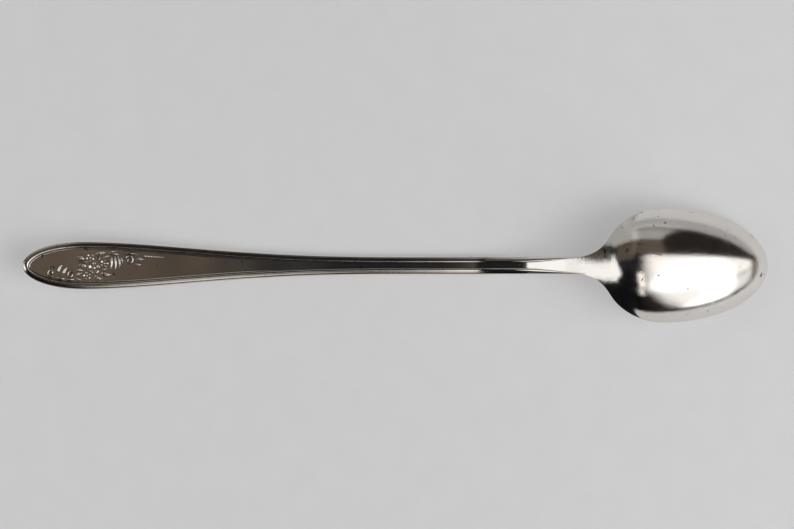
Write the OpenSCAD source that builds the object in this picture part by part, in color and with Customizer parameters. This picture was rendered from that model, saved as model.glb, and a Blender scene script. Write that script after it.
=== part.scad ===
// An iced tea spoon that lies face down on a table, with the back of its bowl and handle up.
// It is struck in one piece of plated metal. Each node is one part of its form, and the parts
// meet face to face. Stations (s) run along the spoon from the handle's end to the bowl's tip.

/* [Overall] */

// Length from the handle's end to the bowl's tip
spoon_l = 190; // [180:1:200]

/* [Bowl] */

// Width of the bowl at its widest place
bowl_w = 28.9; // [25:0.1:33]
// Length from the bowl's widest place to its tip
bowl_tip_l = 26.5; // [23:0.1:30]
// Length from the bowl's widest place to its heel
bowl_heel_l = 16.4; // [14.5:0.1:19]
// Depth of the bowl's back above the plane of its rim
bowl_depth = 8.3; // [6.5:0.1:10]
// Wall of the bowl at its deepest place
bowl_wall = 1.1; // [0.8:0.05:1.5]
// Thickness of the rim's rounded edge
rim_t = 0.6; // [0.4:0.05:0.9]
// Width of the rim's flat land, inside its rounded edge
rim_land = 0.9; // [0.6:0.05:1.4]
// How far the rim's rounded edge swells out
rim_swell = 0.1; // [0.05:0.05:0.2]
// Width of the blunt end at the bowl's very tip
tip_flat_w = 1.8; // [1.2:0.1:2.4]
// Angle of the rim's plane to the table
bowl_tilt = 15; // [14:0.5:18]
// Half angle of the arc that the bowl's back follows
bowl_arc = 66; // [55:1:72]

/* [Neck] */

// Length of the flare from the shank to the bowl
neck_l = 11.3; // [9:0.1:14]
// Thickness of the neck at the bowl's heel
neck_t = 1.8; // [1.5:0.1:2.2]
// Radius of the rounding across the neck's back, at the heel
neck_r = 15; // [11:0.5:20]
// Angle of the neck to the table
neck_angle = 25; // [22:0.5:26]
// Length of the neck's straight slope, from the bend to the heel
bend_l = 16.5; // [14:0.5:17.5]
// Length past the heel at which the neck's back starts to sink into the bowl's back
drop_l = 3.2; // [2.4:0.1:4]
// Radius of the curve in which the neck's back sinks
drop_r = 10; // [8:0.5:13]
// Size of the blend between the neck's back and the bowl's back
heel_blend = 0.3; // [0.2:0.1:1]
// Size of the rounding where the neck's front turns over into the plane of the rim
heel_ease = 3; // [2:0.1:4]

/* [Shank] */

// Width of the shank
shank_w = 4.65; // [4:0.05:5.4]
// Thickness of the shank between its borders
shank_t = 2; // [1.6:0.1:2.6]
// Place where the front comes down from the handle to rest on the table
rest_s = 90; // [82:1:95]
// Length of the shank that rests on the table
rest_l = 25.5; // [20:0.5:27]

/* [Handle] */

// Width of the handle at its widest place
handle_w = 12.3; // [10:0.1:15]
// Length from the handle's widest place to its end
handle_tip_l = 15.5; // [13:0.1:20]
// Length in which the handle narrows to the shank
handle_taper_l = 92; // [80:1:98]
// Length of the handle's blade, where the shank begins
handle_l = 85; // [70:1:95]
// Thickness of the handle's end between its borders
handle_t = 1.5; // [1.2:0.1:2]
// How far the handle's end is bent up from the table
handle_rise = 5.2; // [3:0.5:8]
// How far the rounded sides swell out past the borders
side_swell = 0.35; // [0.25:0.05:0.45]

/* [Borders] */

// Width of the rounded border along the edges
border_w = 1.25; // [1:0.05:1.3]
// Height of the border
border_h = 0.26; // [0.2:0.02:0.34]
// Length in which the border fades out on the neck
border_fade_l = 16; // [10:0.5:20]
// Gap from the border to the fine thread inside it
thread_gap = 0.1; // [0.05:0.05:0.2]
// Width of the thread
thread_w = 0.35; // [0.25:0.05:0.4]
// Height of the thread
thread_h = 0.14; // [0.1:0.02:0.2]
// Distance from the handle's end at which the thread fades out
thread_end_s = 68; // [50:1:70]
// Length in which the thread fades out
thread_fade_l = 14; // [8:1:20]

/* [Ornament] */

// Distance from the handle's end to the spray of scrolls and blossoms
spray_s = 5.5; // [4.5:0.1:7]
// Length of the spray
spray_l = 30; // [26:0.5:34]
// Clear panel between the thread and the spray
spray_clear = 0.05; // [0.05:0.05:0.2]
// Height of the spray over the panel
relief_h = 0.42; // [0.3:0.02:0.5]
// Radius of the largest scroll
scroll_r = 1.1; // [0.8:0.05:1.2]
// Width of the band that makes a scroll
scroll_w = 0.46; // [0.3:0.02:0.5]
// Width of the widest leaf
leaf_w = 1; // [0.7:0.05:1.1]
// Radius of the largest blossom
blossom_r = 1.6; // [1.2:0.05:1.7]
// Radius of the largest bead in the row
bead_r = 0.32; // [0.2:0.02:0.34]

/* [Hidden] */

metal = "#b9b3aa";
metal_raised = "#c9c4bc";

// The two faces of the handle: the back looks up and the front looks down
BACK = 1;
FRONT = -1;

// Powers of the ovals and of the curve that the outlines follow
handle_power = 2.05;
heel_power = 2.15;
tip_power = 2;
taper_power = 3.6;

// Place on the heel's oval where the neck's flare joins it, as a share of the heel's length
flare_share = 0.88;
// Place on the flare where the border ends, as a share of the flare's length
border_end_share = 0.45;
// Size that a faded border or a stroke's point still has, as a share of its full size
point_share = 0.12;

// Stations and places
bowl_s = spoon_l - bowl_tip_l;
heel_s = bowl_s - bowl_heel_l;
flare_end_s = bowl_s - flare_share * bowl_heel_l;
flare_s = flare_end_s - neck_l;
taper_end_s = handle_tip_l + handle_taper_l;
border_end_s = flare_s + border_end_share * neck_l;
lift_s = rest_s + rest_l;
bend_s = heel_s - bend_l;
drop_s = heel_s + drop_l;
hollow_inset = rim_swell + rim_land;
hollow_s = bowl_s - bowl_heel_l + hollow_inset;
hollow_end_s = spoon_l - hollow_inset;
spray_inset = side_swell + border_w + thread_gap + thread_w + spray_clear;

// The flare leaves the shank's side along it and meets the heel's oval at the oval's own slope
flare_rise = bowl_w / 2 * oval(flare_share, heel_power) - shank_w / 2;
flare_slope = bowl_w / 2 / bowl_heel_l * oval_slope(flare_share, heel_power);
flare_power = flare_slope * neck_l / flare_rise;

// Counts of stations and of points across a section
tip_steps = 12;
blade_steps = 17;
shank_steps = 12;
neck_steps = 9;
heel_steps = 12;
bowl_tip_steps = 16;
rim_tip_steps = 3;
section_points = 17;
side_points = 5;
border_points = 6;
thread_points = 4;
stroke_points = 5;
scroll_rings = 15;
leaf_rings = 7;
petal_rings = 6;
petals = 5;
row_beads = 7;
$fn = 24;

// Curves

function mix(a, b, t) = a + (b - a) * t;
function clamp(t) = min(max(t, 0), 1);
function ease(t) = let (c = clamp(t)) c * c * (3 - 2 * c);

// The larger of two heights, with a rounded valley of size k between them
function blend(a, b, k) = let (h = max(k - abs(a - b), 0) / k) max(a, b) + h * h * k / 4;

// An oval quarter of power p, and its slope
function oval(t, p) = pow(max(1 - pow(abs(t), p), 0), 1 / p);
function oval_slope(t, p) = pow(t, p - 1) * pow(1 - pow(t, p), 1 / p - 1);

// The handle's taper, from 1 at the widest place to 0 at the shank, level at both ends
function taper(t) = pow(1 - clamp(t), taper_power) * (1 + taper_power * clamp(t));

// Outline: half the spoon's width at a station

function bowl_power(s) = s < bowl_s ? heel_power : tip_power;
function bowl_share(s, inset) =
    s < bowl_s ? (bowl_s - s) / (bowl_heel_l - inset) : (s - bowl_s) / (bowl_tip_l - inset);
function bowl_half_w(s, inset) = (bowl_w / 2 - inset) * oval(bowl_share(s, inset), bowl_power(s));

function half_w(s) =
    s < handle_tip_l ? handle_w / 2 * oval(1 - s / handle_tip_l, handle_power)
    : s < flare_s ? mix(shank_w, handle_w, taper((s - handle_tip_l) / handle_taper_l)) / 2
    : s < flare_end_s ? shank_w / 2 + flare_rise * pow((s - flare_s) / neck_l, flare_power)
    : max(bowl_half_w(s, 0), tip_flat_w / 2);

// Half the width of the flat between the rounded sides
function swell(s) = mix(side_swell, rim_swell, ease((s - flare_s) / (heel_s - flare_s)));
function flat_w(s) = half_w(s) - swell(s);

// Heights of the front and back faces above the table

function rim_z(s) = (spoon_l - s) * tan(bowl_tilt);

// The stem's front: it rests on the table, rises to the handle's end, and bends up into the neck
function stem_front_z(s) =
    let (
        run = bend_s - lift_s,
        t = clamp((s - lift_s) / run),
        lean = tan(neck_angle),
        rise = rim_z(heel_s) - border_h - lean * bend_l
    )
    s < rest_s ? border_h + handle_rise * pow(1 - s / rest_s, 2)
    : s < bend_s ? border_h + rise * ease(t) + lean * run * (pow(t, 3) - pow(t, 2))
    : border_h + rise + lean * (s - bend_s);

// The whole front, where the neck's slope turns over into the plane of the rim
function front_z(s) =
    s < rest_s ? stem_front_z(s) : -blend(-stem_front_z(s), -rim_z(s), heel_ease);

function stem_t(s) =
    s < taper_end_s ? mix(handle_t, shank_t, s / taper_end_s)
    : mix(shank_t, neck_t, pow(clamp((s - taper_end_s) / (heel_s - taper_end_s)), 2));

// The shank's back is flat across, and the neck's falls away to its edges and sinks into the bowl
function stem_z(s) = stem_front_z(s) + stem_t(s);
function neck_z(s, y) =
    let (
        camber = ease((s - flare_s) / (heel_s - flare_s)) * pow(y, 2) / neck_r / 2,
        sink = pow(max(s - drop_s, 0), 2) / drop_r / 2
    )
    stem_z(s) - camber - sink;

// Distance from the bowl's middle, where 1 is the rim's outline drawn in by the inset
function rim_share(s, y, inset) =
    let (p = bowl_power(s))
    pow(pow(bowl_share(s, inset), p) + pow(abs(y) / (bowl_w / 2 - inset), p), 1 / p);

// An arc from 1 at the bowl's middle to 0 at the rim, and straight on past the rim
function arc(t) =
    t < 1
    ? (sqrt(1 - pow(t * sin(bowl_arc), 2)) - cos(bowl_arc)) / (1 - cos(bowl_arc))
    : (1 - t) * pow(sin(bowl_arc), 2) / cos(bowl_arc) / (1 - cos(bowl_arc));

function dome_z(s, y) = rim_z(s) + rim_t + (bowl_depth - rim_t) * arc(rim_share(s, y, rim_swell));
function hollow_z(s, y) =
    front_z(s) + (bowl_depth - bowl_wall) * max(arc(rim_share(s, y, hollow_inset)), 0);

function back_z(s, y) =
    s < flare_s ? stem_z(s) : blend(neck_z(s, y), dome_z(s, y), heel_blend);
function face_z(face, s, y) = face == BACK ? back_z(s, y) : front_z(s);

// Solids made of rings of points

// Triangles between rings, where each ring has r points and the first ring starts at point base
function skin(rings, r, base = 0) = [
    for (i = [0:rings - 2], j = [0:r - 1])
        let (a = base + i * r + j, b = base + i * r + (j + 1) % r)
        each [[a, a + r, b + r], [a, b + r, b]]
];

// A fan of triangles over a ring, which faces back along the rings
function fan(r, base = 0) = [for (j = [1:r - 2]) [base, base + j, base + j + 1]];
function turned(faces) = [for (f = faces) [f[2], f[1], f[0]]];
function facing(face, faces) = face == BACK ? faces : turned(faces);

// Sections across the bowl, neck and shank

// Points down or up one rounded side, from the flat's edge at one face to the other
function side(s, from_z, to_z, hand) = [
    for (j = [1:side_points])
        let (a = 180 * j / (side_points + 1))
        [
            s,
            hand * (flat_w(s) + swell(s) * sin(a)),
            mix(from_z, to_z, (1 - cos(a)) / 2),
        ]
];

function section(s, hollow_w, n) =
    let (
        w = flat_w(s),
        edge_z = back_z(s, w),
        top = [for (j = [0:n - 1]) let (y = w * cos(180 * j / (n - 1))) [s, y, back_z(s, y)]],
        inner = [
            for (j = [1:n - 2])
                let (y = -hollow_w * cos(180 * (j - 1) / max(n - 3, 1)))
                [s, y, hollow_z(s, y)]
        ],
        bottom = concat([[s, -w, front_z(s)]], inner, [[s, w, front_z(s)]])
    )
    concat(top, side(s, edge_z, front_z(s), -1), bottom, side(s, front_z(s), edge_z, 1));

// The end of a solid, in strips from its back to its front and fans at its sides
function section_end(n, base) =
    let (k = side_points, low = n + k, last = 2 * n + k - 1, r = 2 * (n + k))
    concat(
        [
            for (j = [0:n - 2])
                each [
                    [base + j, base + j + 1, base + last - j - 1],
                    [base + j, base + last - j - 1, base + last - j],
                ]
        ],
        [for (j = [0:k - 1]) [base + n - 1, base + n + j, base + n + j + 1]],
        [for (j = [0:k - 1]) [base + last, base + last + 1 + j, base + (last + 2 + j) % r]]
    );

module sections(stations, n) {
    r = 2 * (n + side_points);
    rings = len(stations);
    polyhedron(
        points = [
            for (s = stations)
                each section(s, max(bowl_half_w(s, hollow_inset), tip_flat_w / 4), n)
        ],
        faces = concat(
            section_end(n, 0),
            skin(rings, r),
            turned(section_end(n, (rings - 1) * r))
        )
    );
}

// The rounded outline of the handle, from a far station on one side round the end to the other

handle_stations = concat(
    [for (i = [0:tip_steps - 1]) handle_tip_l * (1 - cos(90 * i / tip_steps))],
    [for (i = [0:blade_steps]) mix(handle_tip_l, handle_l, i / blade_steps)]
);
shank_stations = [for (i = [0:shank_steps]) mix(handle_l, flare_s, i / shank_steps)];
fade_stations = [for (i = [1:neck_steps]) mix(flare_s, border_end_s, i / neck_steps)];
thread_stations = concat([for (s = handle_stations) if (s < thread_end_s) s], [thread_end_s]);
border_stations = concat(
    handle_stations,
    [for (i = [1:shank_steps]) shank_stations[i]],
    fade_stations
);

function unit(v) = v / norm(v);

// Each item is a point on the outline and the direction straight out of it
function outline(stations) =
    let (
        n = len(stations),
        at = [for (s = stations) [s, half_w(s)]],
        out = [
            for (i = [0:n - 1])
                let (
                    before = i == 0 ? [at[1].x, -at[1].y] : at[i - 1],
                    after = at[min(i + 1, n - 1)],
                    along = i == n - 1 ? [1, 0] : unit(after - before)
                )
                [-along.y, along.x]
        ]
    )
    concat(
        [for (i = [n - 1:-1:0]) [at[i], out[i]]],
        [for (i = [1:n - 1]) [[at[i].x, -at[i].y], [out[i].x, -out[i].y]]]
    );

// A plate with rounded sides that fills the outline
module plate(stations) {
    edge = outline(stations);
    r = side_points + 2;
    rings = len(edge);
    last = (rings - 1) * r;
    cut = concat([for (j = [0:r - 1]) j], [for (j = [r - 1:-1:0]) last + j]);
    polyhedron(
        points = [
            for (e = edge, j = [0:r - 1])
                let (
                    a = 180 * j / (r - 1),
                    p = e[0] - e[1] * side_swell * (1 - sin(a))
                )
                [p.x, p.y, mix(back_z(p.x, p.y), front_z(p.x), (1 - cos(a)) / 2)]
        ],
        faces = concat(
            [
                for (i = [0:rings - 2], j = [0:r - 2])
                    let (a = i * r + j, b = a + r)
                    each [[a, b, b + 1], [a, b + 1, a + 1]]
            ],
            [
                for (i = [0:(rings - 3) / 2], j = [0, r - 1])
                    let (
                        a = i * r + j,
                        b = a + r,
                        c = last - i * r + j,
                        d = c - r,
                        strip = b == d ? [[a, c, b]] : [[a, c, d], [a, d, b]]
                    )
                    each j == 0 ? strip : turned(strip)
            ],
            [for (i = [1:len(cut) - 2]) [cut[0], cut[i], cut[i + 1]]]
        )
    );
}

// A rounded ridge on one face, with its crest toward its inner edge. It runs along the outline
// and narrows and fades out at its two ends
module ridge(face, stations, inset, w, h, fade_l, n) {
    edge = outline(stations);
    rings = len(edge);
    end_s = stations[len(stations) - 1];
    polyhedron(
        points = [
            for (e = edge, j = [0:n - 1])
                let (
                    a = 180 * j / (n - 1),
                    grow = mix(point_share, 1, ease((end_s - e[0].x) / fade_l)),
                    p = e[0] - e[1] * (inset + w * grow * cos(a / 2))
                )
                [p.x, p.y, face_z(face, p.x, p.y) + face * h * grow * sin(a)]
        ],
        faces = facing(face, concat(fan(n), skin(rings, n), turned(fan(n, (rings - 1) * n))))
    );
}

// Spray: each stroke is a ridge along a short path, with its own width and height on the way

// A place on the panel, as a share of the spray's length and of half the panel's width there
function spot(p) =
    let (s = spray_s + p[0] * spray_l)
    [s, p[1] * (half_w(s) - spray_inset)];

function heading(path, i) =
    unit(path[min(i + 1, len(path) - 1)] - path[max(i - 1, 0)]);

function stroke(face, path, w, h, shares) = [
    for (i = [0:len(path) - 1], j = [0:stroke_points - 1])
        let (
            a = 180 * j / (stroke_points - 1),
            along = heading(path, i),
            share = max(shares[i], point_share),
            p = path[i] + [-along.y, along.x] * w / 2 * share * cos(a)
        )
        [p.x, p.y, face_z(face, p.x, p.y) + face * h * share * sin(a)]
];

module strokes(face, list, rings) {
    n = stroke_points;
    polyhedron(
        points = [for (points = list) each points],
        faces = facing(face, [
            for (i = [0:len(list) - 1])
                let (base = i * rings * n)
                each concat(
                    fan(n, base),
                    skin(rings, n, base),
                    turned(fan(n, base + (rings - 1) * n))
                )
        ])
    );
}

// A curve through the corner between two ends, which it leaves and reaches along the corner's arms
function bent(a, corner, b, n) = [
    for (i = [0:n - 1])
        let (t = i / (n - 1))
        mix(mix(a, corner, t), mix(corner, b, t), t)
];

// Scrolls: place, size, angle at which the curl starts, and how far it turns
scroll_shares = [
    [0.06, -0.57, 0.85, -50, -400],
    [0.227, -0.59, 0.85, 40, 400],
    [0.723, 0.38, 1, 150, -400],
    [0.456, 0.48, 0.46, 300, 380],
];
// How much of its radius a scroll loses, and of its band, from its start to its eye
curl_share = 0.72;
band_loss_share = 0.35;

// Stems: both ends and the corner between them
stem_shares = [
    [[0.1, -0.86], [0.15, -0.94], [0.18, -0.89]],
    [[0.267, -0.81], [0.297, -0.9], [0.313, -0.89]],
    [[0.647, 0.81], [0.723, 0.91], [0.813, 0.76]],
    [[0.538, 0.72], [0.592, 0.79], [0.635, 0.73]],
    [[0.185, -0.9], [0.22, -0.93], [0.26, -0.88]],
];

function curl_path(p) = [
    for (i = [0:scroll_rings - 1])
        let (
            t = i / (scroll_rings - 1),
            a = p[3] + p[4] * t,
            r = scroll_r * p[2] * (1 - curl_share * t)
        )
        spot(p) + r * [cos(a), sin(a)]
];

module scrolls(face) {
    rings = scroll_rings;
    thins = [for (i = [0:rings - 1]) 1 - band_loss_share * i / (rings - 1)];
    swells = [for (i = [0:rings - 1]) sin(180 * i / (rings - 1))];
    strokes(face, concat(
        [for (p = scroll_shares) stroke(face, curl_path(p), scroll_w * p[2], relief_h, thins)],
        [
            for (p = stem_shares)
                let (path = bent(spot(p[0]), spot(p[1]), spot(p[2]), rings))
                stroke(face, path, scroll_w, relief_h, swells)
        ]
    ), rings);
}

// Leaves: root, corner, tip and width
leaf_shares = [
    [[0.34, 0.38], [0.303, 0.55], [0.257, 0.48], 0.9],
    [[0.357, -0.05], [0.317, 0.07], [0.27, -0.03], 0.9],
    [[0.483, -0.47], [0.523, -0.65], [0.57, -0.58], 0.9],
    [[0.437, 0.71], [0.477, 0.86], [0.527, 0.8], 0.8],
    [[0.427, -0.64], [0.45, -0.84], [0.497, -0.87], 0.8],
    [[0.123, -0.49], [0.123, -0.17], [0.157, 0.03], 0.8],
    [[0.163, -0.6], [0.17, -0.33], [0.197, -0.13], 0.8],
    [[0.273, -0.3], [0.3, -0.25], [0.33, -0.33], 0.7],
    [[0.57, 0.6], [0.58, 0.23], [0.563, -0.23], 0.7],
    [[0.593, 0.66], [0.613, 0.26], [0.603, -0.26], 0.7],
    [[0.62, 0.66], [0.643, 0.33], [0.64, -0.08], 0.65],
    [[0.643, 0.59], [0.66, 0.41], [0.663, 0.15], 0.45],
    [[0.78, 0.43], [0.81, 0.52], [0.847, 0.42], 0.7],
    [[0.77, 0.13], [0.793, 0.03], [0.823, 0.06], 0.6],
    [[0.55, 0.83], [0.58, 0.95], [0.617, 0.91], 0.55],
    [[0.48, -0.32], [0.507, -0.2], [0.538, -0.24], 0.5],
    [[0.496, 0.46], [0.525, 0.6], [0.557, 0.65], 0.5],
    [[0.271, -0.65], [0.292, -0.47], [0.325, -0.47], 0.55],
    [[0.371, 0.19], [0.333, 0.3], [0.283, 0.24], 0.4],
];
// Power that moves a leaf's widest place toward its root
leaf_power = 0.75;

module leaves(face) {
    swells = [for (i = [0:leaf_rings - 1]) sin(180 * pow(i / (leaf_rings - 1), leaf_power))];
    strokes(face, [
        for (p = leaf_shares)
            let (path = bent(spot(p[0]), spot(p[1]), spot(p[2]), leaf_rings))
            stroke(face, path, leaf_w * p[3], relief_h, swells)
    ], leaf_rings);
}

// Blossoms: place, size and angle of the first petal
blossom_shares = [
    [0.423, -0.15, 1, 20],
    [0.39, 0.48, 0.69, 50],
    [0.51, 0.135, 0.69, 0],
    [0.363, -0.65, 0.65, 30],
];
// Where a petal starts and how wide it is, as shares of the blossom's radius
petal_start_share = 0.36;
petal_w_share = 0.64;
// Radius of a blossom's middle, as a share of the blossom's radius
middle_share = 0.24;
// Power that moves a petal's widest place toward its end
petal_power = 1.4;

function petal_path(p, turn) =
    let (r = blossom_r * p[2], a = p[3] + turn)
    [
        for (i = [0:petal_rings - 1])
            spot(p) + r * mix(petal_start_share, 1, i / (petal_rings - 1)) * [cos(a), sin(a)]
    ];

module blossoms(face) {
    swells = [for (i = [0:petal_rings - 1]) sin(180 * pow(i / (petal_rings - 1), petal_power))];
    strokes(face, [
        for (p = blossom_shares, k = [0:petals - 1])
            stroke(
                face, petal_path(p, 360 * k / petals),
                blossom_r * p[2] * petal_w_share, relief_h, swells
            )
    ], petal_rings);
}

// Beads: a row that ends the spray, and a bead in the middle of each blossom
row_shares = [[0.857, 0.7], [1, 0.68]];
// Size of the row's last bead, as a share of the first
last_bead_share = 0.62;

// Slope of a face at a station, taken over the span of a bead
function face_slope(face, s, r) =
    atan((face_z(face, s + r, 0) - face_z(face, s - r, 0)) / (2 * r));

module bead(face, p, r) {
    translate([p.x, p.y, face_z(face, p.x, p.y)])
        rotate([0, -face_slope(face, p.x, r), 0])
            mirror([0, 0, face == BACK ? 0 : 1])
                rotate_extrude()
                    intersection() {
                        circle(r);
                        square(r);
                    }
}

module beads(face) {
    for (i = [0:row_beads - 1]) {
        t = i / (row_beads - 1);
        bead(face, spot(mix(row_shares[0], row_shares[1], t)), bead_r * mix(1, last_bead_share, t));
    }
    for (p = blossom_shares)
        bead(face, spot(p), blossom_r * p[2] * middle_share);
}

// Nodes: the spoon's middle stands over the origin, and its lowest places touch the table

module placed() {
    translate([-spoon_l / 2, 0, 0])
        children();
}

module bowl() {
    heel_l = bowl_s - hollow_s;
    tip_l = hollow_end_s - bowl_s;
    stations = concat(
        [for (i = [0:heel_steps - 1]) bowl_s - heel_l * cos(90 * i / heel_steps)],
        [for (i = [0:bowl_tip_steps - 1]) bowl_s + tip_l * sin(90 * i / bowl_tip_steps)],
        [for (i = [0:rim_tip_steps]) mix(hollow_end_s, spoon_l, i / rim_tip_steps)]
    );
    color(metal)
        placed()
            sections(stations, section_points);
}

module neck() {
    color(metal)
        placed()
            sections(
                [for (i = [0:neck_steps]) mix(flare_s, hollow_s, i / neck_steps)],
                section_points
            );
}

module shank() {
    color(metal)
        placed()
            sections(shank_stations, 2);
}

module handle() {
    color(metal)
        placed()
            plate(handle_stations);
}

module border(face) {
    color(metal_raised)
        placed()
            ridge(face, border_stations, side_swell, border_w, border_h, border_fade_l, border_points);
}

module thread(face) {
    color(metal_raised)
        placed()
            ridge(
                face, thread_stations, side_swell + border_w + thread_gap,
                thread_w, thread_h, thread_fade_l, thread_points
            );
}

module back_border() { border(BACK); }
module front_border() { border(FRONT); }
module back_thread() { thread(BACK); }
module front_thread() { thread(FRONT); }

module spray_scrolls(face) { color(metal_raised) placed() scrolls(face); }
module spray_leaves(face) { color(metal_raised) placed() leaves(face); }
module spray_blossoms(face) { color(metal_raised) placed() blossoms(face); }
module spray_beads(face) { color(metal_raised) placed() beads(face); }

module back_scrolls() { spray_scrolls(BACK); }
module back_leaves() { spray_leaves(BACK); }
module back_blossoms() { spray_blossoms(BACK); }
module back_beads() { spray_beads(BACK); }
module front_scrolls() { spray_scrolls(FRONT); }
module front_leaves() { spray_leaves(FRONT); }
module front_blossoms() { spray_blossoms(FRONT); }
module front_beads() { spray_beads(FRONT); }

bowl();
neck();
shank();
handle();
back_border();
front_border();
back_thread();
front_thread();
back_scrolls();
back_leaves();
back_blossoms();
back_beads();
front_scrolls();
front_leaves();
front_blossoms();
front_beads();
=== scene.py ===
import math

import bpy
import numpy as np
from mathutils import Matrix, Vector


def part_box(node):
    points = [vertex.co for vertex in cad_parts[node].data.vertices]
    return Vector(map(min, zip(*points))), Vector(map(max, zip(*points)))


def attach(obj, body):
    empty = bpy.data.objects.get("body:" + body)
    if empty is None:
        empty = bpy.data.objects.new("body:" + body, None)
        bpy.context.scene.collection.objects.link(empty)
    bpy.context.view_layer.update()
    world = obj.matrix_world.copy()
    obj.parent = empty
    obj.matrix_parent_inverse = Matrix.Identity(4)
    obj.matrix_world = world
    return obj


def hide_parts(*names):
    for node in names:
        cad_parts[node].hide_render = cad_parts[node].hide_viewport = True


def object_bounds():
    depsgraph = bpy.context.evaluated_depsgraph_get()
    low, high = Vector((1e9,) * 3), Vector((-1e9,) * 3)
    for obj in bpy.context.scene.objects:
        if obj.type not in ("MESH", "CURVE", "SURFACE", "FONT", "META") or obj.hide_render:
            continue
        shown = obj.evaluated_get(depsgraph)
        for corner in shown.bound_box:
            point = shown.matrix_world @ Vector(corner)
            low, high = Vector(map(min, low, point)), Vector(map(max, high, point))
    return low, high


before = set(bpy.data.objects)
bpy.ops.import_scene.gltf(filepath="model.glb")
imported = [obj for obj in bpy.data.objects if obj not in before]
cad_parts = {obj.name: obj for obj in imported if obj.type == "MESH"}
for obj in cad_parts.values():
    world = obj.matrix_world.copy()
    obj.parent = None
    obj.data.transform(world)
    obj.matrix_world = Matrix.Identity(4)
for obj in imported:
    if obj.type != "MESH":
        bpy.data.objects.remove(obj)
cad_low, cad_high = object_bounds()

# Sizes, in millimetres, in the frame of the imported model

MM = 0.001
BACK = 1
FRONT = -1


def span(node, axis):
    """Length of a node's box along an axis."""
    low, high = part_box(node)
    return (high[axis] - low[axis]) / MM


spoon_l = (cad_high.x - cad_low.x) / MM
bowl_w = span("bowl", 1)
handle_w = span("handle", 1)
handle_l = span("handle", 0)

bowl_tip_l = 26.5
bowl_heel_l = 16.4
bowl_depth = 8.3
bowl_wall = 1.1
rim_t = 0.6
rim_land = 0.9
rim_swell = 0.1
bowl_tilt = math.radians(15)
bowl_arc = math.radians(66)

neck_l = 11.3
neck_t = 1.8
neck_r = 15
neck_angle = math.radians(25)
drop_r = 10
drop_l = 3.2
heel_blend = 0.3
bend_l = 16.5
heel_ease = 3

shank_w = 4.65
shank_t = 2
rest_s = 90
rest_l = 25.5

handle_tip_l = 15.5
handle_taper_l = 92
handle_t = 1.5
handle_rise = 5.2
side_swell = 0.35

border_w = 1.25
border_h = 0.26
border_fade_l = 16
thread_gap = 0.1
thread_w = 0.35
thread_h = 0.14
thread_end_s = 68
thread_fade_l = 14

spray_s = 5.5
spray_l = 30
spray_clear = 0.05
relief_h = 0.42
scroll_r = 1.1
scroll_w = 0.46
leaf_w = 1
blossom_r = 1.6
bead_r = 0.32

handle_power = 2.05
heel_power = 2.15
tip_power = 2
taper_power = 3.6
flare_share = 0.88
border_end_share = 0.45
point_share = 0.12

# How far a ridge's foot sinks into the face that carries it
foot = 0.03

# How far the smooth crown of the bowl stays under the top of the solids
crown_drop = 0.01

bowl_s = spoon_l - bowl_tip_l
heel_s = bowl_s - bowl_heel_l
flare_end_s = bowl_s - flare_share * bowl_heel_l
flare_s = flare_end_s - neck_l
taper_end_s = handle_tip_l + handle_taper_l
border_end_s = flare_s + border_end_share * neck_l
lift_s = rest_s + rest_l
bend_s = heel_s - bend_l
drop_s = heel_s + drop_l
hollow_inset = rim_swell + rim_land
hollow_s = heel_s + hollow_inset
spray_inset = side_swell + border_w + thread_gap + thread_w + spray_clear


# Curves and faces of the spoon, the same as the solids follow


def mix(a, b, t):
    """A value between a and b."""
    return a + (b - a) * t


def clamp(t):
    """A share kept between 0 and 1."""
    return np.clip(t, 0, 1)


def ease(t):
    """A share that starts and ends gently."""
    c = clamp(t)
    return c * c * (3 - 2 * c)


def blend(a, b, k):
    """The larger of two heights, with a rounded valley of size k between them."""
    h = np.maximum(k - np.abs(a - b), 0) / k
    return np.maximum(a, b) + h * h * k / 4


def oval(t, p):
    """Half width of a superellipse of power p, as a share, at a share of its length."""
    return np.maximum(1 - np.abs(t) ** p, 0) ** (1 / p)


def oval_slope(t, p):
    """Slope of the same superellipse."""
    return t ** (p - 1) * (1 - t**p) ** (1 / p - 1)


flare_rise = bowl_w / 2 * oval(flare_share, heel_power) - shank_w / 2
flare_slope = bowl_w / 2 / bowl_heel_l * oval_slope(flare_share, heel_power)
flare_power = flare_slope * neck_l / flare_rise


def taper(t):
    """Share of the handle's extra width that is left along the blade."""
    c = clamp(t)
    return (1 - c) ** taper_power * (1 + taper_power * c)


def bowl_power(s):
    """Power of the bowl's outline, toward the heel or toward the tip."""
    return np.where(s < bowl_s, heel_power, tip_power)


def bowl_share(s, inset):
    """Distance from the bowl's widest place, as a share of its length that way."""
    return np.where(
        s < bowl_s,
        (bowl_s - s) / (bowl_heel_l - inset),
        (s - bowl_s) / (bowl_tip_l - inset),
    )


def bowl_half_w(s, inset):
    """Half the bowl's width at a station, drawn in by the inset."""
    return (bowl_w / 2 - inset) * oval(bowl_share(s, inset), bowl_power(s))


def half_w(s):
    """Half the spoon's width at a station."""
    s = np.asarray(s, float)
    end = handle_w / 2 * oval(1 - s / handle_tip_l, handle_power)
    blade = mix(shank_w, handle_w, taper((s - handle_tip_l) / handle_taper_l)) / 2
    flare = shank_w / 2 + flare_rise * clamp((s - flare_s) / neck_l) ** flare_power
    return np.select(
        [s < handle_tip_l, s < flare_s, s < flare_end_s], [end, blade, flare], bowl_half_w(s, 0)
    )


def swell(s):
    """How far the rounded sides stand out."""
    return mix(side_swell, rim_swell, ease((s - flare_s) / (heel_s - flare_s)))


def rim_z(s):
    """Height of the plane of the bowl's rim."""
    return (spoon_l - s) * math.tan(bowl_tilt)


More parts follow.
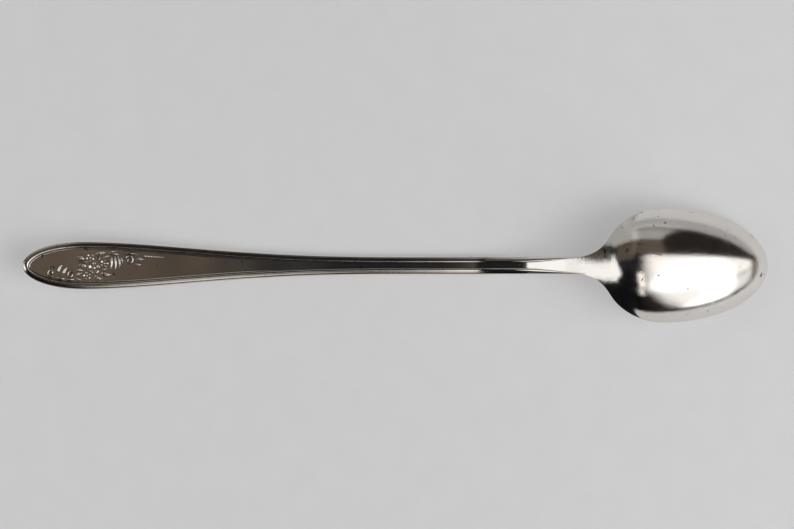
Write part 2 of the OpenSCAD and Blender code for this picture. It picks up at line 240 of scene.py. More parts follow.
def stem_front_z(s):
    """Height of the stem's front: the handle's end and the neck rise from the resting place."""
    s = np.asarray(s, float)
    run = bend_s - lift_s
    t = clamp((s - lift_s) / run)
    lean = math.tan(neck_angle)
    rise = rim_z(heel_s) - border_h - lean * bend_l
    handle = handle_rise * (1 - s / rest_s) ** 2
    shank = rise * ease(t) + lean * run * (t**3 - t**2)
    return border_h + np.select([s < rest_s, s < bend_s], [handle, shank], rise + lean * (s - bend_s))


def front_z(s):
    """The stem's front, rounded over into the plane of the bowl's rim."""
    s = np.asarray(s, float)
    return np.where(s < rest_s, stem_front_z(s), -blend(-stem_front_z(s), -rim_z(s), heel_ease))


def stem_t(s):
    """Thickness of the handle, shank and neck."""
    blade = mix(handle_t, shank_t, s / taper_end_s)
    shank = mix(shank_t, neck_t, clamp((s - taper_end_s) / (heel_s - taper_end_s)) ** 2)
    return np.where(s < taper_end_s, blade, shank)


def neck_z(s, y):
    """Back of the neck, which is arched across and drops into the bowl."""
    camber = ease((s - flare_s) / (heel_s - flare_s)) * y**2 / neck_r / 2
    sink = np.maximum(s - drop_s, 0) ** 2 / drop_r / 2
    return stem_front_z(s) + stem_t(s) - camber - sink


def rim_share(s, y, inset):
    """Distance from the bowl's middle, where 1 is the rim's outline drawn in by the inset."""
    p = bowl_power(s)
    return (bowl_share(s, inset) ** p + (np.abs(y) / (bowl_w / 2 - inset)) ** p) ** (1 / p)


def arc(t):
    """An arc from 1 at the bowl's middle to 0 at the rim, and straight on past the rim."""
    c = math.cos(bowl_arc)
    inside = (np.sqrt(np.maximum(1 - (t * math.sin(bowl_arc)) ** 2, 0)) - c) / (1 - c)
    past = (1 - t) * math.sin(bowl_arc) ** 2 / c / (1 - c)
    return np.where(t < 1, inside, past)


def dome_z(s, y):
    """Back of the bowl."""
    return rim_z(s) + rim_t + (bowl_depth - crown_drop - rim_t) * arc(rim_share(s, y, rim_swell))


def hollow_z(s, y):
    """Front of the bowl, with its hollow."""
    return front_z(s) + (bowl_depth - bowl_wall) * np.maximum(arc(rim_share(s, y, hollow_inset)), 0)


def back_z(s, y):
    """Height of the spoon's back."""
    s = np.asarray(s, float)
    y = np.asarray(y, float)
    stem = front_z(s) + stem_t(s)
    return np.where(s < flare_s, stem, blend(neck_z(s, y), dome_z(s, y), heel_blend))


def face_z(face, s, y):
    """Height of the back or the front."""
    return back_z(s, y) if face == BACK else front_z(s)


# Meshes


def unit(v):
    """Vectors of length 1."""
    return v / np.maximum(np.linalg.norm(v, axis=-1, keepdims=True), 1e-12)


def slopes(grid, axis, closed):
    """Differences along one axis of a grid of points, central where there are two neighbours."""
    if closed:
        return np.roll(grid, -1, axis) - np.roll(grid, 1, axis)
    return np.gradient(grid, axis=axis)


def normals(grid, closed):
    """Normals of a grid of rings, on the side that its quads face before any turn."""
    return unit(np.cross(slopes(grid, 0, False), slopes(grid, 1, closed)))


class Build:
    """Collects points, normals and faces of one mesh, in millimetres."""

    def __init__(self):
        self.points = []
        self.normals = []
        self.faces = []
        self.count = 0

    def add(self, points, normals):
        """Take points and their normals, and return the first one's number."""
        base = self.count
        self.points.append(points.reshape(-1, 3))
        self.normals.append(normals.reshape(-1, 3))
        self.count += self.points[-1].shape[0]
        return base

    def skin(self, grid, closed, turn=False, given=None):
        """Quads over a grid of rings."""
        n, m = grid.shape[:2]
        out = normals(grid, closed) if given is None else given
        base = self.add(grid, -out if turn and given is None else out)
        for i in range(n - 1):
            for j in range(m if closed else m - 1):
                a = base + i * m + j
                b = base + i * m + (j + 1) % m
                face = (a, a + m, b + m, b)
                self.faces.append(face[::-1] if turn else face)
        return base

    def cap(self, ring, direction, turn=False):
        """One flat face over a ring."""
        base = self.add(ring, np.tile(np.asarray(direction, float), (len(ring), 1)))
        face = tuple(range(base, base + len(ring)))
        self.faces.append(face[::-1] if turn else face)

    def mesh(self, name):
        """The finished mesh, in metres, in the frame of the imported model."""
        points = np.concatenate(self.points) - np.array([spoon_l / 2, 0, 0])
        data = bpy.data.meshes.new(name)
        data.from_pydata((points * MM).tolist(), [], self.faces)
        data.polygons.foreach_set("use_smooth", [True] * len(data.polygons))
        data.normals_split_custom_set_from_vertices(np.concatenate(self.normals).tolist())
        data.update()
        return data


def piece(name, build, material):
    """An object that takes the place of the node with its name."""
    made = bpy.data.objects.new(name, build.mesh(name))
    bpy.context.scene.collection.objects.link(made)
    made.data.materials.append(material)
    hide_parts(name)
    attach(made, "root")
    return made


# Body: rings across the shank, neck and bowl

TOP_POINTS = 97
SIDE_POINTS = 9
HOLLOW_POINTS = 65
SHANK_STEPS = 60
NECK_STEPS = 40
HEEL_STEPS = 60
TIP_STEPS = 90

# Where the last ring lies on the way round to the bowl's tip
tip_turn = math.radians(89.3)

# The least half width of a ring, and of its front between the edges
least_w = rim_swell / 4
tip_front_share = 1 / 4
stem_front_share = 1 / 8


def side_arc(s, from_z, to_z, hand):
    """Points round one side of a ring."""
    a = math.pi * np.arange(1, SIDE_POINTS + 1) / (SIDE_POINTS + 1)
    w = half_w(s) - swell(s) * (1 - np.sin(a))
    return np.stack([np.full_like(a, s), hand * w, mix(from_z, to_z, (1 - np.cos(a)) / 2)], 1)


def section(s):
    """A ring of points round the spoon at a station."""
    w = max(float(half_w(s) - swell(s)), least_w)
    y = w * np.cos(np.linspace(0, math.pi, TOP_POINTS))
    top = np.stack([np.full_like(y, s), y, back_z(np.full_like(y, s), y)], 1)
    front_w = w * (tip_front_share if s > bowl_s else stem_front_share)
    hollow_w = max(float(bowl_half_w(s, hollow_inset)), front_w)
    y = -hollow_w * np.cos(np.linspace(0, math.pi, HOLLOW_POINTS))
    inner = np.stack([np.full_like(y, s), y, hollow_z(np.full_like(y, s), y)], 1)
    low = float(front_z(s))
    edge = top[-1, 2]
    return np.concatenate(
        [
            top,
            side_arc(s, edge, low, -1),
            [[s, -w, low]],
            inner,
            [[s, w, low]],
            side_arc(s, low, edge, 1),
        ]
    )


stations = np.concatenate(
    [
        np.linspace(handle_l, flare_s, SHANK_STEPS + 1)[:-1],
        np.linspace(flare_s, hollow_s, NECK_STEPS + 1)[:-1],
        bowl_s - (bowl_s - hollow_s) * np.cos(np.linspace(0, math.pi / 2, HEEL_STEPS + 1))[:-1],
        bowl_s + bowl_tip_l * np.sin(np.linspace(0, tip_turn, TIP_STEPS + 1)),
    ]
)
shank_end = SHANK_STEPS
neck_end = SHANK_STEPS + NECK_STEPS
body_rings = np.stack([section(s) for s in stations])
before = section(handle_l - (stations[1] - stations[0]))
body_normals = -normals(np.concatenate([before[None], body_rings]), True)[1:]


def body_piece(first, last):
    """A closed piece of the body between two rings."""
    build = Build()
    rings = body_rings[first : last + 1]
    build.skin(rings, True, True, body_normals[first : last + 1])
    build.cap(rings[0], (-1, 0, 0), True)
    build.cap(rings[-1], (1, 0, 0))
    return build


# Handle: a plate with rounded sides that fills the outline

END_STEPS = 48
BLADE_STEPS = 140
FADE_STEPS = 30


def outline(at):
    """Points of the outline from the far station round the handle's end, with the direction out."""
    edge = np.stack([at, half_w(at)], 1)
    along = np.empty_like(edge)
    along[1:-1] = edge[2:] - edge[:-2]
    along[0] = (0, 1)
    along[-1] = edge[-1] - edge[-2]
    along = unit(along)
    out = np.stack([-along[:, 1], along[:, 0]], 1)
    flip = np.array([1, -1])
    whole_edge = np.concatenate([edge[::-1], edge[1:] * flip])
    whole_out = np.concatenate([out[::-1], out[1:] * flip])
    return whole_edge, whole_out


end_at = handle_tip_l * (1 - np.cos(np.linspace(0, math.pi / 2, END_STEPS + 1)))[:-1]
blade_at = np.linspace(handle_tip_l, handle_l, BLADE_STEPS + 1)
handle_at = np.concatenate([end_at, blade_at])
shank_at = np.linspace(handle_l, flare_s, SHANK_STEPS + 1)[1:]
fade_at = np.linspace(flare_s, border_end_s, FADE_STEPS + 1)[1:]


def plate():
    """The handle's blade, whose two faces join both sides of the outline."""
    step = blade_at[1] - blade_at[0]
    edge, out = outline(np.append(handle_at, handle_l + step))
    a = np.linspace(0, math.pi, 2 * SIDE_POINTS + 1)
    inset = np.concatenate([[2 * side_swell], side_swell * (1 - np.sin(a)), [2 * side_swell]])
    share = np.concatenate([[0], (1 - np.cos(a)) / 2, [1]])
    at = edge[:, None] - out[:, None] * inset[None, :, None]
    z = mix(back_z(at[..., 0], at[..., 1]), front_z(at[..., 0]), share)
    grid = np.concatenate([at, z[..., None]], 2)
    given = -normals(grid, False)[1:-1, 1:-1]
    grid = grid[1:-1, 1:-1]
    n, m = grid.shape[:2]
    build = Build()
    base = build.skin(grid, False, True, given)
    half = (n - 1) // 2
    for i in range(half):
        for j, top in ((0, True), (m - 1, False)):
            a0 = base + i * m + j
            c0 = base + (n - 1 - i) * m + j
            face = (a0, a0 + m, c0 - m, c0) if i < half - 1 else (a0, a0 + m, c0)
            build.faces.append(face if top else face[::-1])
    build.cap(np.concatenate([grid[0], grid[-1, ::-1]]), (1, 0, 0), True)
    return build


# Ridges: the border and the thread along the outline

BORDER_POINTS = 21
THREAD_POINTS = 11


def ridge(face, at, inset, w, h, fade_l, n):
    """A rounded ridge along the outline, with its crest toward its inner edge, that fades at its ends."""
    edge, out = outline(at)
    a = np.linspace(0, math.pi, n)
    grow = mix(point_share, 1, ease((at[-1] - edge[:, :1]) / fade_l))
    deep = inset + w * grow * np.cos(a / 2)
    flat = edge[:, None] - out[:, None] * deep[..., None]
    lift = h * grow * np.sin(a)
    lift[:, 0] = -foot
    lift[:, -1] = -foot
    z = face_z(face, flat[..., 0], flat[..., 1]) + face * lift
    grid = np.concatenate([flat, z[..., None]], 2)
    return ridge_build([grid], face)


def ridge_build(grids, face):
    """Closed ridges, each a grid of rings that stand on one face."""
    build = Build()
    for grid in grids:
        m = grid.shape[1]
        base = build.skin(grid, False, face == BACK)
        for i in range(grid.shape[0] - 1):
            a0 = base + i * m
            floor = (a0, a0 + m - 1, a0 + 2 * m - 1, a0 + m)
            build.faces.append(floor[::-1] if face == BACK else floor)
        build.cap(grid[0], grid[0].mean(0) - grid[1].mean(0), face == BACK)
        build.cap(grid[-1], grid[-1].mean(0) - grid[-2].mean(0), face == FRONT)
    return build


# Spray: scrolls, leaves and blossoms on the handle's panel

STROKE_POINTS = 13
SCROLL_POINTS = 61
LEAF_POINTS = 33
PETAL_POINTS = 17
BEAD_SIDES = 24
BEAD_RINGS = 9

# Where the last ring of a bead stops, short of its top
bead_rise = math.pi / 2 - 0.05

vein_depth_share = 0.5
vein_w_share = 0.2
rib_depth_share = 0.16
rib_slant_share = 0.9
leaf_ribs = 4.5
cup_depth_share = 0.45


def spot(p):
    """A place on the handle, from shares along the spray and across the panel."""
    s = spray_s + p[0] * spray_l
    return np.array([s, p[1] * float(half_w(s) - spray_inset)])


def stroke(face, path, w, h, shares, form):
    """A ridge along a path. The form gives its height from side to side and along the path."""
    along = unit(np.gradient(path, axis=0))
    left = np.stack([-along[:, 1], along[:, 0]], 1)
    a = np.linspace(0, math.pi, STROKE_POINTS)
    share = np.maximum(shares, point_share)
    across = np.cos(a)[None]
    flat = path[:, None] + left[:, None] * (w / 2 * share[:, None] * across)[..., None]
    t = np.linspace(0, 1, len(path))
    lift = h * share[:, None] * np.sin(a)[None] * form(t[:, None], across)
    lift[:, 0] = -foot
    lift[:, -1] = -foot
    z = face_z(face, flat[..., 0], flat[..., 1]) + face * lift
    return np.concatenate([flat, z[..., None]], 2)


def plain_form(t, across):
    """A plain rounded back."""
    return np.ones_like(t * across)


def leaf_form(t, across):
    """A vein down the middle and ribs to each side."""
    vein = 1 - vein_depth_share * np.exp(-((across / vein_w_share) ** 2))
    turn = 2 * math.pi * (leaf_ribs * t - rib_slant_share * np.abs(across))
    ribs = 1 - rib_depth_share * (0.5 + 0.5 * np.cos(turn))
    return vein * ribs


def petal_form(t, across):
    """A petal that is cupped along its middle."""
    return 1 - cup_depth_share * (1 - across**2) ** 2 * np.sin(math.pi * t)


def bent(a, corner, b, n):
    """A curve of n points from a to b, drawn toward the corner."""
    t = np.linspace(0, 1, n)[:, None]
    return mix(mix(a, corner, t), mix(corner, b, t), t)


# Scrolls: place along and across, size, and start and turn of the curl in degrees
scroll_shares = [
    (0.06, -0.57, 0.85, -50, -400),
    (0.227, -0.59, 0.85, 40, 400),
    (0.723, 0.38, 1, 150, -400),
    (0.456, 0.48, 0.46, 300, 380),
]
curl_share = 0.72
band_loss_share = 0.35

# Stems: start, corner and end
stem_shares = [
    ((0.1, -0.86), (0.15, -0.94), (0.18, -0.89)),
    ((0.267, -0.81), (0.297, -0.9), (0.313, -0.89)),
    ((0.647, 0.81), (0.723, 0.91), (0.813, 0.76)),
    ((0.538, 0.72), (0.592, 0.79), (0.635, 0.73)),
    ((0.185, -0.9), (0.22, -0.93), (0.26, -0.88)),
]

# Leaves: root, corner, tip and size
leaf_shares = [
    ((0.34, 0.38), (0.303, 0.55), (0.257, 0.48), 0.9),
    ((0.357, -0.05), (0.317, 0.07), (0.27, -0.03), 0.9),
    ((0.483, -0.47), (0.523, -0.65), (0.57, -0.58), 0.9),
    ((0.437, 0.71), (0.477, 0.86), (0.527, 0.8), 0.8),
    ((0.427, -0.64), (0.45, -0.84), (0.497, -0.87), 0.8),
    ((0.123, -0.49), (0.123, -0.17), (0.157, 0.03), 0.8),
    ((0.163, -0.6), (0.17, -0.33), (0.197, -0.13), 0.8),
    ((0.273, -0.3), (0.3, -0.25), (0.33, -0.33), 0.7),
    ((0.57, 0.6), (0.58, 0.23), (0.563, -0.23), 0.7),
    ((0.593, 0.66), (0.613, 0.26), (0.603, -0.26), 0.7),
    ((0.62, 0.66), (0.643, 0.33), (0.64, -0.08), 0.65),
    ((0.643, 0.59), (0.66, 0.41), (0.663, 0.15), 0.45),
    ((0.78, 0.43), (0.81, 0.52), (0.847, 0.42), 0.7),
    ((0.77, 0.13), (0.793, 0.03), (0.823, 0.06), 0.6),
    ((0.55, 0.83), (0.58, 0.95), (0.617, 0.91), 0.55),
    ((0.48, -0.32), (0.507, -0.2), (0.538, -0.24), 0.5),
    ((0.496, 0.46), (0.525, 0.6), (0.557, 0.65), 0.5),
    ((0.271, -0.65), (0.292, -0.47), (0.325, -0.47), 0.55),
    ((0.371, 0.19), (0.333, 0.3), (0.283, 0.24), 0.4),
]
leaf_power = 0.75

# Blossoms: place along and across, size, and turn in degrees
blossom_shares = [
    (0.423, -0.15, 1, 20),
    (0.39, 0.48, 0.69, 50),
    (0.51, 0.135, 0.69, 0),
    (0.363, -0.65, 0.65, 30),
]
petal_start_share = 0.36
petal_w_share = 0.64
middle_share = 0.24
petal_power = 1.4
petals = 5

# Beads in a row: first and last place
row_shares = ((0.857, 0.7), (1, 0.68))
last_bead_share = 0.62
row_beads = 7


def scrolls(face):
    """The scrolls and the stems."""
    t = np.linspace(0, 1, SCROLL_POINTS)
    band = 1 - band_loss_share * t
    grids = []
    for u, v, size, start, turn in scroll_shares:
        a = np.radians(start + turn * t)
        r = scroll_r * size * (1 - curl_share * t)
        path = spot((u, v)) + r[:, None] * np.stack([np.cos(a), np.sin(a)], 1)
        grids.append(stroke(face, path, scroll_w * size, relief_h, band, plain_form))
    for a, corner, b in stem_shares:
        path = bent(spot(a), spot(corner), spot(b), SCROLL_POINTS)
        grids.append(stroke(face, path, scroll_w, relief_h, np.sin(math.pi * t), plain_form))
    return ridge_build(grids, face)


def leaves(face):
    """The leaves, veined and ribbed."""
    t = np.linspace(0, 1, LEAF_POINTS)
    shares = np.sin(math.pi * t**leaf_power)
    grids = []
    for root, corner, tip, size in leaf_shares:
        path = bent(spot(root), spot(corner), spot(tip), LEAF_POINTS)
        grids.append(stroke(face, path, leaf_w * size, relief_h, shares, leaf_form))
    return ridge_build(grids, face)


def blossoms(face):
    """The petals of the blossoms."""
    t = np.linspace(0, 1, PETAL_POINTS)
    shares = np.sin(math.pi * t**petal_power)
    grids = []
    for u, v, size, start in blossom_shares:
        r = blossom_r * size
        for k in range(petals):
            a = math.radians(start + 360 * k / petals)
            reach = r * mix(petal_start_share, 1, t)
            path = spot((u, v)) + reach[:, None] * np.array([math.cos(a), math.sin(a)])
            grids.append(stroke(face, path, r * petal_w_share, relief_h, shares, petal_form))
    return ridge_build(grids, face)


def beads(face):
    """The row of beads and the middles of the blossoms."""
    places = []
    for i in range(row_beads):
        t = i / (row_beads - 1)
        at = mix(np.array(row_shares[0]), np.array(row_shares[1]), t)
        places.append((spot(at), bead_r * mix(1, last_bead_share, t)))
    for u, v, size, _ in blossom_shares:
        places.append((spot((u, v)), blossom_r * size * middle_share))
    build = Build()
    turn = np.linspace(0, 2 * math.pi, BEAD_SIDES + 1)[:-1]
    around = np.stack([np.cos(turn), np.sin(turn)], 1)[None]
    rise = np.linspace(0, bead_rise, BEAD_RINGS)
    for at, r in places:
        flat = at + r * np.cos(rise)[:, None, None] * around
        lift = r * np.sin(rise)
        lift[0] = -foot
        z = face_z(face, flat[..., 0], flat[..., 1]) + face * lift[:, None]
        grid = np.concatenate([flat, z[..., None]], 2)
        build.skin(grid, True, face == BACK)
        build.cap(grid[0], (0, 0, -face), face == BACK)
        build.cap(grid[-1], (0, 0, face), face == FRONT)
    return build


# Materials

# Scales of the silver's patterns, in cells per metre
stain_scale = 70
spot_scale = 620
tarnish_scale = 300
hollow_tarnish_and_shade_scale = 500
scratch_scale = 900
grain_scale = 2400
dent_scale = 45

# Scratches run along the spoon
scratch_stretch = (0.08, 1, 1)

# Height of the fine grain, in metres
grain_depth = 0.00003

# How far a spot's edge spreads
spot_edge = 0.06

# Tones, each with its place in the pattern
stain_tones = [(0.3, (0.84, 0.81, 0.775)), (0.6, (0.8, 0.765, 0.715)), (0.8, (0.7, 0.65, 0.585))]
tarnish_tones = [(0.3, (0.16, 0.12, 0.09)), (0.7, (0.3, 0.24, 0.18))]
# Dark tones in and beside the hollows: partly tarnish, partly painted shade
hollow_tarnish_and_shade_tones = [(0.3, (0.1, 0.08, 0.07)), (0.7, (0.2, 0.17, 0.15))]


def material(name):
    """A new material, its nodes and its shader."""
    made = bpy.data.materials.new(name)
    made.use_nodes = True
    tree = made.node_tree
    return made, tree, tree.nodes["Principled BSDF"]


def wire(tree, a, b):
    """Link an output to an input."""
    tree.links.new(a, b)


def maths(tree, operation, *values):
    """The result of a sum on one or two outputs."""
    made = tree.nodes.new("ShaderNodeMath")
    made.operation = operation
    for i, value in enumerate(values):
        wire(tree, value, made.inputs[i])
    return made.outputs["Value"]


def noise(tree, coords, scale, detail, stretch=(1, 1, 1)):
    """A noise pattern on the object's own coordinates."""
    mapping = tree.nodes.new("ShaderNodeMapping")
    mapping.inputs["Scale"].default_value = stretch
    wire(tree, coords, mapping.inputs["Vector"])
    made = tree.nodes.new("ShaderNodeTexNoise")
    made.inputs["Scale"].default_value = scale
    made.inputs["Detail"].default_value = detail
    wire(tree, mapping.outputs["Vector"], made.inputs["Vector"])
    return made.outputs["Fac"]


def ramp(tree, fac, stops):
    """Tones along a value."""
    made = tree.nodes.new("ShaderNodeValToRGB")
    while len(made.color_ramp.elements) < len(stops):
        made.color_ramp.elements.new(0.5)
    for e, (place, colour) in zip(made.color_ramp.elements, stops):
        e.position = place
        e.color = (*colour, 1)
    wire(tree, fac, made.inputs["Fac"])
    return made.outputs["Color"]


def over(tree, fac, a, b):
    """Colour a, with b over it where the factor is 1."""
    made = tree.nodes.new("ShaderNodeMix")
    made.data_type = "RGBA"
    wire(tree, fac, made.inputs["Factor"])
    wire(tree, a, made.inputs[6])
    wire(tree, b, made.inputs[7])
    return made.outputs[2]


def bump(tree, height, strength, depth, under=None):
    """The normal of a bumpy face, on top of another one where it is given."""
    made = tree.nodes.new("ShaderNodeBump")
    made.inputs["Strength"].default_value = strength
    made.inputs["Distance"].default_value = depth
    wire(tree, height, made.inputs["Height"])
    if under:
        wire(tree, under, made.inputs["Normal"])
    return made.outputs["Normal"]


def grey(v):
    """A tone without colour."""
    return (v, v, v)


def silver(name, crevice, rough_low, rough_high, grain, dent, clean):
    """Polished silver plate with faint stains and small dark spots.

    Hollows narrower than the crevice, in metres, are painted dark, partly as tarnish and partly as
    painted shade. The roughness lies between its low and high values. The grain is the strength of the
    fine bumps, the dent is the height of the wide ones in metres, and spots show where their pattern is
    above the clean level.
    """
    made, tree, shader = material(name)
    coords = tree.nodes.new("ShaderNodeTexCoord").outputs["Object"]
    shader.inputs["Metallic"].default_value = 1
    stain = ramp(tree, noise(tree, coords, stain_scale, 4), stain_tones)
    spot_stops = [(clean, grey(0)), (clean + spot_edge, grey(1))]
    spots = ramp(tree, noise(tree, coords, spot_scale, 3), spot_stops)
    tarnish = ramp(tree, noise(tree, coords, tarnish_scale, 2), tarnish_tones)
    colour = over(tree, spots, stain, tarnish)
    # Painted shade: an occlusion mask darkens the colour in and beside the hollows, partly as tarnish and
    # partly as painted shade
    if crevice:
        hollow = tree.nodes.new("ShaderNodeAmbientOcclusion")
        hollow.samples = 8
        hollow.inputs["Distance"].default_value = crevice
        shade = ramp(tree, hollow.outputs["AO"], [(0.4, grey(1)), (0.92, grey(0))])
        deep = ramp(tree, noise(tree, coords, hollow_tarnish_and_shade_scale, 3), hollow_tarnish_and_shade_tones)
        colour = over(tree, shade, colour, deep)
    wire(tree, colour, shader.inputs["Base Color"])
    scratch = noise(tree, coords, scratch_scale, 5, scratch_stretch)
    rough = ramp(tree, scratch, [(0.3, grey(rough_low)), (0.7, grey(rough_high))])
    wire(tree, rough, shader.inputs["Roughness"])
    fine = bump(tree, noise(tree, coords, grain_scale, 3), grain, grain_depth)
    wide = bump(tree, noise(tree, coords, dent_scale, 1), 1, dent, fine)
    wire(tree, wide, shader.inputs["Normal"])
    return made


plate_silver = silver("silver_plate", 0, 0.09, 0.15, 0.6, 0.00004, 0.665)
# The panel and relief silver carry painted shade in and beside their hollows, on top of tarnish
panel_silver = silver("silver_panel", 0.0008, 0.05, 0.09, 0.02, 0.0002, 0.68)
relief_silver = silver("silver_relief", 0.0006, 0.1, 0.15, 0.02, 0.00004, 0.68)

# Pieces

piece("bowl", body_piece(neck_end, len(stations) - 1), plate_silver)
piece("neck", body_piece(shank_end, neck_end), plate_silver)
piece("shank", body_piece(0, shank_end), panel_silver)
piece("handle", plate(), panel_silver)

border_at = np.concatenate([handle_at, shank_at, fade_at])
thread_at = np.append(handle_at[handle_at < thread_end_s], thread_end_s)
thread_inset = side_swell + border_w + thread_gap

for word, face in (("back", BACK), ("front", FRONT)):
    made = {
        "border": ridge(face, border_at, side_swell, border_w, border_h, border_fade_l, BORDER_POINTS),
        "thread": ridge(face, thread_at, thread_inset, thread_w, thread_h, thread_fade_l, THREAD_POINTS),
        "scrolls": scrolls(face),
        "leaves": leaves(face),
        "blossoms": blossoms(face),
        "beads": beads(face),
    }
    for name, build in made.items():
        piece(f"{word}_{name}", build, relief_silver)

# Table

table_reach = 4.0
table_scale = 120
table_tones = [(0.3, (0.56, 0.56, 0.565)), (0.7, (0.58, 0.58, 0.585))]
table_glow = (0.24, 0.24, 0.243, 1)

table_data = bpy.data.meshes.new("table")
corners = [(-1, -1), (1, -1), (1, 1), (-1, 1)]
table_points = [(x * table_reach, y * table_reach, 0) for x, y in corners]
table_data.from_pydata(table_points, [], [(0, 1, 2, 3)])
table = bpy.data.objects.new("table", table_data)
bpy.context.scene.collection.objects.link(table)
table_paint, tree, shader = material("table_paint")
coords = tree.nodes.new("ShaderNodeTexCoord").outputs["Object"]
paint = ramp(tree, noise(tree, coords, table_scale, 3), table_tones)
wire(tree, paint, shader.inputs["Base Color"])
shader.inputs["Roughness"].default_value = 0.75
shader.inputs["Emission Color"].default_value = table_glow
ray = tree.nodes.new("ShaderNodeLightPath")
shown = maths(tree, "MAXIMUM", ray.outputs["Is Camera Ray"], ray.outputs["Is Glossy Ray"])
wire(tree, shown, shader.inputs["Emission Strength"])
table_data.materials.append(table_paint)

# Studio light: plain panels round the spoon, in a dim room, in metres


def soften(data, fades):
    """Let a panel's light fade toward its left, right, lower and upper edges, over these lengths."""
    data.use_nodes = True
    tree = data.node_tree
    place = tree.nodes.new("ShaderNodeSeparateXYZ")
    geometry = tree.nodes.new("ShaderNodeNewGeometry")
    wire(tree, geometry.outputs["Parametric"], place.inputs["Vector"])
    left, right, lower, upper = fades
    edges = (
        ("X", 0, left / data.size),
        ("X", 1, 1 - right / data.size),
        ("Y", 0, lower / data.size_y),
        ("Y", 1, 1 - upper / data.size_y),
    )
    level = None
    for axis, dark, bright in edges:
        if dark == bright:
            continue
        fade = tree.nodes.new("ShaderNodeMapRange")
        fade.interpolation_type = "SMOOTHSTEP"
        fade.inputs["From Min"].default_value = dark
        fade.inputs["From Max"].default_value = bright
        wire(tree, place.outputs[axis], fade.inputs["Value"])
        result = fade.outputs["Result"]
        level = maths(tree, "MULTIPLY", level, result) if level else result
    wire(tree, level, tree.nodes["Emission"].inputs["Strength"])


def panel_light(name, low, high, far, strength, colour, fades=None):
    """A light panel between two ends of its upper edge and a point below, facing the spoon."""
    low, high, far = Vector(low), Vector(high), Vector(far)
    x = (high - low).normalized()
    down = far - low
    down -= x * down.dot(x)
    y = -down.normalized()
    z = x.cross(y)
    data = bpy.data.lights.new(name, "AREA")
    data.shape = "RECTANGLE"
    data.size = (high - low).length
    data.size_y = down.length
    data.energy = strength * math.pi * data.size * data.size_y
    data.color = colour
    if fades:
        soften(data, fades)
    made = bpy.data.objects.new(name, data)
    bpy.context.scene.collection.objects.link(made)
    turn = Matrix((x, y, z)).transposed().to_4x4()
    turn.translation = (low + high) / 2 + down / 2
    made.matrix_world = turn
    made.visible_camera = False
    return made


def table_panel(name, corner, turn, along, across, low, strength, colour, fades=None):
    """A light panel over the table, from a corner of its upper edge, turned about the vertical."""
    a = math.radians(turn)
    x, y, z = corner
    high = (x + along * math.cos(a), y + along * math.sin(a), z)
    far = (x + across * math.sin(a), y - across * math.cos(a), low)
    return panel_light(name, corner, high, far, strength, colour, fades)


plain = (1, 1, 1)
cream = (1, 0.97, 0.93)
deep_cream = (1, 0.95, 0.88)
brown = (1, 0.82, 0.64)

# Over the right side and the near side: corner, turn, length, width, low edge, strength, tone, fades
key_panels = (
    ("key_edge", (-0.013, -0.1, 0.6), 5, 0.14, 0.35, 0.6, 1.15, cream, (0.02, 0.06, 0.05, 0.02)),
    ("key_front", (-0.02, -0.42, 0.6), 5, 0.14, 0.35, 0.6, 0.9, deep_cream, (0.03, 0.03, 0.05, 0.05)),
    ("key_upper", (-0.005, 0.155, 0.6), 5, 4, 0.8, 0.54, 1.05, plain, (0.24, 0, 0.3, 0.015)),
    ("key_lower", (-0.05, -0.3, 0.58), 30, 1.2, 2.6, 0.25, 1.1, plain, (0.38, 0, 0, 0.28)),
    ("key_right", (0.95, -0.32, 0.56), 4, 3.2, 1.6, 0.3, 0.9, plain, (0, 0, 0, 0.3)),
    ("key_middle", (0.15, 0.1, 0.5), 11, 0.8, 0.75, 0.5, 1.2, plain, (0.3, 0.3, 0.3, 0.3)),
)

# Over the left side, and brown ones toward the far side
fill_panels = (
    ("fill_tip", (-0.34, -0.16, 0.6), 222, 0.5, 0.65, 0.6, 1.15, plain),
    ("fill_core", (-0.95, 0.3, 0.6), 0, 0.31, 0.75, 0.6, 0.3, plain),
    ("fill", (-2.2, 0.42, 0.6), 0, 1.35, 0.92, 0.6, 0.95, plain),
    ("warm_left", (-0.61, 0.6, 0.62), 0, 0.56, 0.5, 0.62, 0.09, brown),
    ("warm_right", (0.0, 0.15, 0.165), 0, 0.161, 0.1, 0.165, 0.09, brown, (0.04, 0, 0, 0)),
)

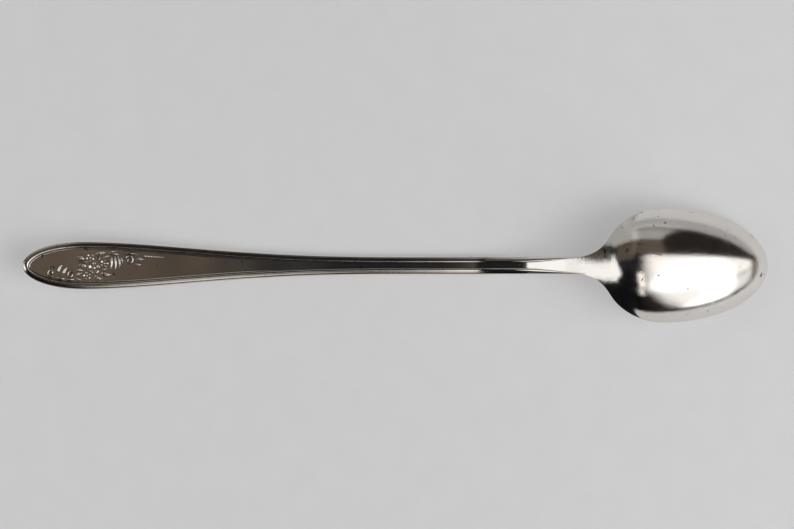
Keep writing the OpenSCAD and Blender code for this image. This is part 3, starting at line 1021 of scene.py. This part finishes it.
# Upright ones on the far side: ends of the upper edge, a point below, strength, tone, fades
back_panels = (
    ("back_left", (0.05, 0.6, 0.62), (-1.8, 0.6, 0.62), (0.05, 0.6, 0), 0.4, plain, (0.2, 0, 0, 0)),
    (
        "back_middle",
        (0.16, 0.15, 0.165),
        (0, 0.15, 0.165),
        (0.16, 0.15, 0.03),
        0.37,
        plain,
        (0, 0.04, 0.08, 0),
    ),
    ("back_right", (2.5, 0.6, 0.24), (-0.15, 0.6, 0.24), (2.5, 0.6, 0), 0.38, plain, (0, 0.2, 0, 0)),
)

for panel in key_panels + fill_panels:
    table_panel(*panel)
for panel in back_panels:
    panel_light(*panel)

# One more evens out the table's left side and isn't mirrored in the silver
table_fill = table_panel("table_fill", (-0.5, 0.3, 0.25), 0, 0.3, 0.6, 0.25, 0.6, plain)
table_fill.visible_glossy = False

# The room: dim, with a brownish wall at the right, straight along the spoon
room_dim = (0.016, 0.016, 0.019)
wall_tones = [(0.0, room_dim), (0.03, grey(0.036)), (0.1, (0.13, 0.1, 0.074))]
aside_tones = [(0.0, (0.005, 0.005, 0.006)), (0.2, (0.021, 0.016, 0.014))]

world = bpy.data.worlds.new("room")
bpy.context.scene.world = world
world.use_nodes = True
tree = world.node_tree
back = tree.nodes["Background"]
direction = tree.nodes.new("ShaderNodeTexCoord").outputs["Generated"]
parts = tree.nodes.new("ShaderNodeSeparateXYZ")
wire(tree, direction, parts.inputs["Vector"])
wall = ramp(tree, parts.outputs["X"], wall_tones)
dusk = ramp(tree, parts.outputs["X"], aside_tones)
sideways = maths(tree, "ABSOLUTE", parts.outputs["Y"])
aside = ramp(tree, sideways, [(0.08, grey(0)), (0.2, grey(1))])
wire(tree, over(tree, aside, wall, dusk), back.inputs["Color"])
back.inputs["Strength"].default_value = 1

# Camera: straight above, with the photograph's frame, in millimetres

photo_w = 794
pixel = 0.2557
camera_x = 0.25
camera_y = 0.23
camera_z = 1000
camera_data = bpy.data.cameras.new("camera")
camera = bpy.data.objects.new("camera", camera_data)
bpy.context.scene.collection.objects.link(camera)
bpy.context.scene.camera = camera
camera_data.sensor_width = 36
camera_data.lens = camera_data.sensor_width * camera_z / (photo_w * pixel)
camera.location = (camera_x * MM, camera_y * MM, camera_z * MM)
bpy.context.scene.view_settings.view_transform = "Standard"
